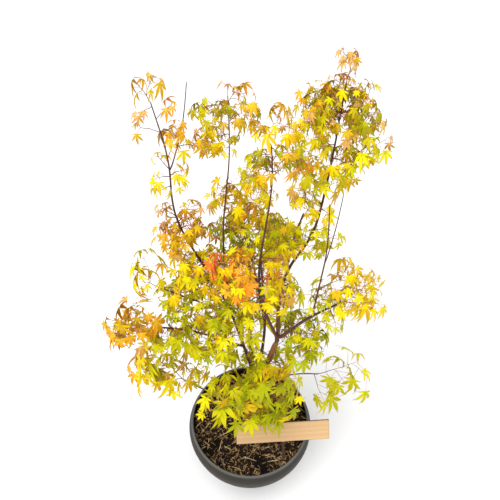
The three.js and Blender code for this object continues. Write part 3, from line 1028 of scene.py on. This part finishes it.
def leaf_piece(tint, leaves, recipe, forms):
    """All leaves of one tint, standing for the masses that have it."""
    name = "leaves_" + tint
    mesh = bpy.data.meshes.new(name)
    mesh.from_pydata([tuple(leaf[0]) for leaf in leaves], [], [])
    add_attribute(mesh, "turn", "FLOAT_VECTOR", "POINT", [tuple(leaf[1]) for leaf in leaves])
    add_attribute(mesh, "size", "FLOAT_VECTOR", "POINT", [leaf[2] for leaf in leaves])
    add_attribute(mesh, "form", "INT", "POINT", [leaf[3] for leaf in leaves])
    add_attribute(mesh, "shade", "INT", "POINT", [leaf[4] for leaf in leaves])
    shades, heart, tip = TINTS[tint]
    inputs = {f"Shade{k}": leaf_finish(f"{tint}_blade_{k}", code) for k, code in enumerate(shades)}
    inputs.update(Forms=forms, Heart=leaf_finish(f"{tint}_heart", heart), Tip=leaf_finish(f"{tint}_tip", tip))
    piece = made_by(recipe, show(name + "_points", mesh), name, **inputs)
    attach(piece, "root")
    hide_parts(*[m for m in MASSES if TINT_OF[m] == tint])


def grow_crown(lines):
    wood = Wood()
    for name, (points, radii) in lines.items():
        keep = slice(15, None) if name == "trunk" else slice(4, None)
        wood.add(points[keep][::3], radii[keep][::3])
    stems = np.vstack([lines[name][0] for name in STEMS])
    crown = Crown(stems[stems[:, 2] > PARTING_FROM])
    for index, name in enumerate(MASSES):
        grow_mass(crown, wood, name, index * 101 + 7)
    grow_short_shoots(crown, wood, lines)
    return crown


def build_tree():
    lines = read_limbs()
    bark = bark_finish()
    bark_piece("trunk_and_stems", STEMS, lines, bark)
    bark_piece("boughs", BOUGHS, lines, bark)
    crown = grow_crown(lines)
    thin = wire_recipe()
    twig_bark = stalk_finish("twig_bark", "4a2c2a", "7a4a40")
    stalk_skin = stalk_finish("stalk_skin", "a8584a", "cf8f5c")
    for name, wires, sides, skin in (
        ("twigs", crown.twigs, 5, twig_bark),
        ("leaf_stalks", crown.stalks, 3, stalk_skin),
    ):
        piece = made_by(thin, wire_mesh(name, wires), name, Sides=sides, Wood=skin)
        piece.data.shade_smooth()
        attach(piece, "root")
    forms = bpy.data.collections.new("leaf_forms")
    bpy.context.scene.collection.children.link(forms)
    for index, form in enumerate(LEAF_FORMS):
        forms.objects.link(leaf_form(index, *form))
    recipe = leaf_recipe()
    for tint, leaves in crown.leaves.items():
        leaf_piece(tint, leaves, recipe, forms)
    for form in list(forms.objects):
        bpy.data.objects.remove(form)
    bpy.data.collections.remove(forms)


# ------------------------------------------------------------------ planter

ROUND = 144  # sides of the planter
RIM_HIGHLIGHT_FROM = 0.2035  # height from which the rim is painted pale as a painted highlight
RIM_HIGHLIGHT_DEEP = 0.005


def profile(name):
    """(radius, height) of a turned node's corners, from the lowest."""
    corners, _ = node_arrays(name)
    pairs = {(round(math.hypot(x, y), 4), round(z, 4)) for x, y, z in corners}
    return sorted(pairs, key=lambda pair: (pair[1], pair[0]))


def through(points, count):
    """A smooth line through points, by Catmull-Rom spans."""
    padded = [2 * points[0] - points[1], *points, 2 * points[-1] - points[-2]]
    line = []
    for a, b, c, d in zip(padded, padded[1:], padded[2:], padded[3:]):
        for i in range(count):
            t = i / count
            line.append(0.5 * (2 * b + (c - a) * t + (2 * a - 5 * b + 4 * c - d) * t ** 2 + (3 * b - a - 3 * c + d) * t ** 3))
    line.append(points[-1])
    return line


def lathe(name, outline, sides):
    """A closed turned mesh from an outline of (radius, height) that starts and ends on the axis."""
    corners, faces = [], []
    rows = []
    for radius, height in outline:
        if radius < 1e-6:
            corners.append((0, 0, height))
            rows.append([len(corners) - 1] * sides)
            continue
        row = []
        for k in range(sides):
            angle = 2 * math.pi * k / sides
            corners.append((radius * math.cos(angle), radius * math.sin(angle), height))
            row.append(len(corners) - 1)
        rows.append(row)
    for low, high in zip(rows, rows[1:]):
        for k in range(sides):
            n = (k + 1) % sides
            face = [low[k], low[n], high[n], high[k]]
            faces.append([c for i, c in enumerate(face) if c not in face[:i]])
    mesh = bpy.data.meshes.new(name)
    mesh.from_pydata(corners, [], faces)
    return mesh


def build_planter():
    """The planter's shell with a rolled rim, a foot ring and its drainage holes."""
    pairs = profile("planter")
    top = pairs[-1][1]
    inner_rim, rim = [r for r, z in pairs if z == top]
    wall = rim - inner_rim
    levels = sorted({z for _, z in pairs if z > 0.01})
    outer = [Vector((max(r for r, z in pairs if z == level), level)) for level in levels]
    foot = max(r for r, z in pairs if z == 0)
    curve = through([Vector((foot, 0)), *outer], 7)
    roll = wall / 2
    side = [p for p in curve if 0.004 < p.y < top - roll]
    heel = [Vector((foot - 0.001, 0)), Vector((foot + 0.0006, 0.0012))]
    lip = [
        Vector((rim - roll + roll * math.cos(a), top - roll + roll * math.sin(a)))
        for a in np.linspace(0, math.pi, 11)
    ]
    inside = [Vector((p.x - wall, p.y)) for p in reversed(side) if p.y > 0.02]
    floor = 0.006
    hollow = [Vector((foot - 0.004, floor + 0.006)), Vector((foot - 0.012, floor)), Vector((0, floor))]
    recess = [Vector((0, 0.002)), Vector((foot - 0.014, 0.002)), Vector((foot - 0.012, 0))]
    outline = [tuple(p) for p in recess + heel + side + lip + inside + hollow]
    mesh = lathe("planter_shell", outline, ROUND)
    piece = show("planter_shell", mesh)
    holes = [(r, z) for r, z in pairs if z == 0 and 0.03 < r < foot - 0.02]
    ring = (min(r for r, _ in holes) + max(r for r, _ in holes)) / 2
    size = (max(r for r, _ in holes) - min(r for r, _ in holes)) / 2
    for k in range(4):
        angle = (k + 0.5) * math.pi / 2
        bm = bmesh.new()
        bmesh.ops.create_cone(bm, cap_ends=True, segments=28, radius1=size, radius2=size, depth=0.03)
        bmesh.ops.translate(bm, verts=bm.verts, vec=(ring * math.cos(angle), ring * math.sin(angle), 0))
        drill_mesh = bpy.data.meshes.new("drill")
        bm.to_mesh(drill_mesh)
        bm.free()
        drill = show("drill", drill_mesh)
        cut = piece.modifiers.new("drain", "BOOLEAN")
        cut.operation, cut.object, cut.solver = "DIFFERENCE", drill, "EXACT"
        graph = bpy.context.evaluated_depsgraph_get()
        drilled = bpy.data.meshes.new_from_object(piece.evaluated_get(graph))
        piece.modifiers.clear()
        piece.data = drilled
        bpy.data.objects.remove(drill)
    piece.data.materials.clear()
    piece.data.materials.append(planter_finish())
    piece.data.shade_smooth()
    piece.data.set_sharp_from_angle(angle=math.radians(40))
    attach(piece, "root")
    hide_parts("planter")


# ------------------------------------------------------------------ compost

COMPOST_RINGS = 46
COMPOST_SPOKES = 160


def compost_top(outline, radius):
    """The CAD heap's height at a radius."""
    heap = sorted((r, z) for r, z in outline)
    return float(np.interp(radius, [r for r, _ in heap], [z for _, z in heap]))


def build_compost():
    """The heap's crumbly top, closed below, under loose chips, straw and perlite."""
    pairs = profile("compost")
    top = pairs[-1][1]
    edge_level = top - 0.005
    edge = max(r for r, z in pairs if abs(z - edge_level) < 0.0006)
    heap = [(0.0, top), (0.026, top), (edge * 0.6, top - 0.002), (edge, edge_level)]
    corners, faces = [], []
    for i in range(COMPOST_RINGS + 1):
        radius = edge * (i / COMPOST_RINGS) ** 0.8
        for k in range(COMPOST_SPOKES):
            angle = 2 * math.pi * k / COMPOST_SPOKES
            x, y = radius * math.cos(angle), radius * math.sin(angle)
            fade = min(1, (edge - radius) / 0.004)
            lump = noise.fractal(Vector((x * 45, y * 45, 3)), 0.8, 2.2, 4) * 0.0022
            crumb = noise.fractal(Vector((x * 260, y * 260, 7)), 0.7, 2.0, 3) * 0.0009
            corners.append((x, y, compost_top(heap, radius) - 0.002 + (lump + crumb) * fade))
    rows = COMPOST_RINGS + 1
    below = [(r, z) for r, z in pairs if z < edge_level - 0.012 and r > 0.05]
    levels = sorted({z for _, z in below}, reverse=True)
    for level in levels:
        radius = max(r for r, z in below if z == level) - 0.0003
        for k in range(COMPOST_SPOKES):
            angle = 2 * math.pi * k / COMPOST_SPOKES
            corners.append((radius * math.cos(angle), radius * math.sin(angle), level))
        rows += 1
    for i in range(rows - 1):
        for k in range(COMPOST_SPOKES):
            n = (k + 1) % COMPOST_SPOKES
            a, b = i * COMPOST_SPOKES, (i + 1) * COMPOST_SPOKES
            faces.append((a + k, b + k, b + n, a + n))
    corners.append((0, 0, levels[-1]))
    last = (rows - 1) * COMPOST_SPOKES
    faces.extend((last + k, len(corners) - 1, last + (k + 1) % COMPOST_SPOKES) for k in range(COMPOST_SPOKES))
    mesh = bpy.data.meshes.new("compost_heap")
    mesh.from_pydata(corners, [], faces)
    bm = bmesh.new()
    bm.from_mesh(mesh)
    bmesh.ops.remove_doubles(bm, verts=bm.verts, dist=1e-6)
    bmesh.ops.recalc_face_normals(bm, faces=bm.faces)
    bm.to_mesh(mesh)
    bm.free()
    # the near-black compost colour is partly wet compost and partly painted shade under the crown
    mesh.materials.append(compost_finish("moist_compost", "040302", "1c120c", 210))
    mesh.shade_smooth()
    piece = show("compost_heap", mesh)
    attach(piece, "root")
    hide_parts("compost")
    scatter_litter(heap, edge)


def chip_form(name, length, width, thick, seed):
    """A splinter of bark or straw: a bent, tapering slab of a few faces."""
    rng = random.Random(seed)
    corners, faces = [], []
    for i in range(4):
        t = i / 3
        broad = width * (0.35 + 0.65 * math.sin(math.pi * min(max(t, 0.14), 0.86))) / 2
        shift = rng.uniform(-0.1, 0.1) * length * 0.3
        rise = math.sin(math.pi * t) * length * rng.uniform(0.02, 0.09)
        for side, level in ((-1, 0), (1, 0), (1, 1), (-1, 1)):
            corners.append(((t - 0.5) * length, side * broad * rng.uniform(0.8, 1.2) + shift, rise + level * thick))
    for i in range(3):
        a, b = i * 4, i * 4 + 4
        for k in range(4):
            n = (k + 1) % 4
            faces.append((a + k, b + k, b + n, a + n))
    faces.extend([(0, 1, 2, 3), (15, 14, 13, 12)])
    mesh = bpy.data.meshes.new(name)
    mesh.from_pydata(corners, [], faces)
    bm = bmesh.new()
    bm.from_mesh(mesh)
    bmesh.ops.recalc_face_normals(bm, faces=bm.faces)
    bm.to_mesh(mesh)
    bm.free()
    return bpy.data.objects.new(name, mesh)


def litter_recipe():
    """Scatters chips over a surface, each turned and sized by chance, lying almost flat."""
    r = Recipe("scattered_litter", Chips="Collection", Density="Float", Seed="Int", Lean="Float", Finish="Material")
    clumps = ((r.node("ShaderNodeTexNoise", None, {"Scale": 26.0, "Detail": 2.0}) - 0.4) * 5).clamped()
    spots = r.node(
        "GeometryNodeDistributePointsOnFaces",
        None,
        {"Mesh": r.given("Geometry"), "Density": r.given("Density") * clumps, "Seed": r.given("Seed")},
    )
    chips = r.node(
        "GeometryNodeCollectionInfo",
        None,
        {"Collection": r.given("Chips"), "Separate Children": True, "Reset Children": True},
    )
    lean = r.given("Lean")
    corner = r.node("ShaderNodeCombineXYZ", None, {0: lean, 1: lean, 2: math.pi})
    other = r.node("ShaderNodeVectorMath", {"operation": "SCALE"}, {0: corner, "Scale": -1.0})
    turn = r.node(
        "FunctionNodeRandomValue",
        {"data_type": "FLOAT_VECTOR"},
        {0: other, 1: corner, "Seed": r.given("Seed")},
    )
    size = r.node("FunctionNodeRandomValue", {"data_type": "FLOAT"}, {2: 0.55, 3: 1.3, "Seed": r.given("Seed")}, output=1)
    laid = r.node(
        "GeometryNodeInstanceOnPoints",
        None,
        {
            "Points": spots,
            "Instance": chips,
            "Pick Instance": True,
            "Rotation": r.node("FunctionNodeEulerToRotation", None, {0: turn}),
            "Scale": size,
        },
    )
    whole = r.node("GeometryNodeRealizeInstances", None, {0: laid})
    r.finish(r.node("GeometryNodeSetMaterial", None, {"Geometry": whole, "Material": r.given("Finish")}))
    return r


LITTER = (  # kind, length, width, thickness, number in a square metre, lean, dark, light
    ("bark_chips", 0.012, 0.0050, 0.0020, 24000, 0.5, "0a0604", "2e1c12"),
    ("fine_crumbs", 0.005, 0.0034, 0.0018, 56000, 0.8, "080504", "22160e"),
    ("fibres", 0.011, 0.0011, 0.0006, 90000, 0.5, "5c4428", "b08c5c"),
    ("straw", 0.026, 0.0013, 0.0007, 9000, 0.3, "94784c", "dcc294"),
    ("pale_chips", 0.006, 0.0026, 0.0012, 22000, 0.5, "6a5030", "b8915c"),
    ("perlite", 0.0045, 0.0040, 0.0030, 260, 0.8, "cfccc4", "f4f3ee"),
)


def scatter_litter(heap, edge):
    recipe = litter_recipe()
    for index, (kind, length, width, thick, density, lean, dark, light) in enumerate(LITTER):
        bed = lathe("bed", [(0, heap[0][1]), *heap[1:-1], (edge - 0.006, heap[-1][1] + 0.0004)], 48)
        if bed.polygons[0].normal.z < 0:
            bed.flip_normals()
        chips = bpy.data.collections.new(kind + "_forms")
        bpy.context.scene.collection.children.link(chips)
        for k in range(5):
            stretch = 0.7 + 0.16 * k
            chips.objects.link(chip_form(f"{kind}_{k}", length * stretch, width, thick, index * 10 + k))
        piece = made_by(
            recipe, show(kind + "_bed", bed), kind,
            Chips=chips, Density=density, Seed=index + 3, Lean=lean, Finish=fibre_finish(kind, dark, light),
        )
        for chip in list(chips.objects):
            bpy.data.objects.remove(chip)
        bpy.data.collections.remove(chips)
        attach(piece, "root")


# ------------------------------------------------------------------ tag

TAG_BEVEL = 0.0004
TAG_CELL = 0.008  # spacing of the board's grid away from its edges
SCORCH = 0.0022  # how far the browning runs in from the cut edge


def tag_axes():
    """The tag's axes along its length, up its face and out of its face."""
    corners, faces = node_arrays("plant_tag")
    a, b, c = (corners[faces[:, k]] for k in range(3))
    crosses = np.cross(b - a, c - a)
    totals = {}
    for normal in crosses:
        key = tuple(np.round(normal / np.linalg.norm(normal), 2))
        totals[key] = totals.get(key, 0) + np.linalg.norm(normal)
    front = Vector(max(totals, key=lambda n: totals[n] if n[2] > 0 else 0)).normalized()
    along = Vector((-front.y, front.x, 0)).normalized()
    along = along if along.x > 0 else -along
    return np.array([along, front.cross(along), front])


def graded(low, high):
    """Places from low to high, close together by both ends."""
    inset = [0, SCORCH * 0.3, SCORCH * 0.65, SCORCH]
    inner = np.linspace(low + SCORCH, high - SCORCH, max(2, int((high - low) / TAG_CELL)))
    return [low + i for i in inset[:-1]] + list(inner) + [high - i for i in inset[-2::-1]]


def build_tag():
    """The bare T-shaped tag with burnt edges and a stake coloured dark as painted shade."""
    axes = tag_axes()
    local = node_arrays("plant_tag")[0] @ axes.T
    low, high = local.min(0), local.max(0)
    levels = sorted(set(np.round(local[:, 1], 4)))
    shoulder = levels[1]
    stake = local[local[:, 1] < shoulder - 0.002]
    left, right = stake[:, 0].min(), stake[:, 0].max()
    outline = [
        (low[0], high[1]), (low[0], shoulder), (left, shoulder), (left, low[1]),
        (right, low[1]), (right, shoulder), (high[0], shoulder), (high[0], high[1]),
    ]
    columns = graded(low[0], left) + graded(left, right)[1:] + graded(right, high[0])[1:]
    rows = graded(low[1], shoulder) + graded(shoulder, high[1])[1:]
    bm = bmesh.new()
    grid = {}

    def corner(i, j):
        if (i, j) not in grid:
            grid[i, j] = bm.verts.new((columns[i], rows[j], low[2]))
        return grid[i, j]

    for j in range(len(rows) - 1):
        for i in range(len(columns) - 1):
            if rows[j] >= shoulder - 1e-6 or left - 1e-6 <= columns[i] < right - 1e-6:
                bm.faces.new([corner(i, j), corner(i + 1, j), corner(i + 1, j + 1), corner(i, j + 1)])
    extruded = bmesh.ops.extrude_face_region(bm, geom=bm.faces[:])
    lifted = [v for v in extruded["geom"] if isinstance(v, bmesh.types.BMVert)]
    bmesh.ops.translate(bm, verts=lifted, vec=(0, 0, high[2] - low[2]))
    bmesh.ops.recalc_face_normals(bm, faces=bm.faces)
    rims = [e for e in bm.edges if len(e.link_faces) == 2 and e.calc_face_angle(0) > 1.2]
    bmesh.ops.bevel(bm, geom=rims, offset=TAG_BEVEL, segments=2, affect="EDGES", profile=0.6)
    mesh = bpy.data.meshes.new("wooden_tag")
    bm.to_mesh(mesh)
    bm.free()
    flat = np.array([v.co for v in mesh.vertices])
    mesh.materials.append(plywood_finish())
    mesh.materials.append(scorch_and_stake_shade_finish())
    layer = mesh.uv_layers.new(name="face")
    spots = [tuple(flat[loop.vertex_index][:2]) for loop in mesh.loops]
    layer.data.foreach_set("uv", np.array(spots).ravel())
    # the cut edges take the burnt colour; every face of the stake takes it too, as painted shade
    for polygon in mesh.polygons:
        on_face = abs(polygon.normal.z) > 0.9 and polygon.center.y > shoulder
        polygon.material_index = 0 if on_face else 1
    margin = np.array([edge_distance(x, y, outline) for x, y, _ in flat])
    add_attribute(mesh, "edge", "FLOAT", "POINT", np.clip(1 - margin / SCORCH, 0, 1))
    mesh.vertices.foreach_set("co", (flat @ axes).ravel())
    mesh.update()
    piece = show("wooden_tag", mesh)
    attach(piece, "root")
    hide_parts("plant_tag")


def edge_distance(x, y, outline):
    """How far a point lies from the tag's outline."""
    best = 1.0
    for (ax, ay), (bx, by) in zip(outline, outline[1:] + outline[:1]):
        dx, dy = bx - ax, by - ay
        t = max(0, min(1, ((x - ax) * dx + (y - ay) * dy) / (dx * dx + dy * dy)))
        best = min(best, math.hypot(x - ax - t * dx, y - ay - t * dy))
    return best


# ------------------------------------------------------------------ stage and light


def area_light(name, place, size, power, target=(0, 0, 0.5)):
    lamp = bpy.data.lights.new(name, "AREA")
    lamp.shape, lamp.size, lamp.energy = "DISK", size, power
    light = bpy.data.objects.new(name, lamp)
    light.location = place
    light.rotation_euler = (Vector(target) - Vector(place)).to_track_quat("-Z", "Y").to_euler()
    bpy.context.scene.collection.objects.link(light)


def build_stage():
    floor_mesh = bpy.data.meshes.new("studio_floor")
    half = 12
    floor_mesh.from_pydata([(-half, -half, 0), (half, -half, 0), (half, half, 0), (-half, half, 0)], [], [(0, 1, 2, 3)])
    paper = Finish("studio_paper", Base_Color=(0.86, 0.86, 0.86, 1), Roughness=0.9)
    floor_mesh.materials.append(paper.material)
    show("studio_floor", floor_mesh)
    world = bpy.data.worlds.new("studio_air")
    world.use_nodes = True
    world.node_tree.nodes["Background"].inputs["Color"].default_value = (1, 1, 1, 1)
    world.node_tree.nodes["Background"].inputs["Strength"].default_value = 0.76
    bpy.context.scene.world = world
    area_light("key", (-0.9, -1.0, 3.4), 3.0, 110)
    area_light("fill", (1.8, 1.2, 2.4), 2.0, 25)
    bpy.context.scene.view_settings.view_transform = "Standard"


build_tree()
build_planter()
build_compost()
build_tag()
build_stage()
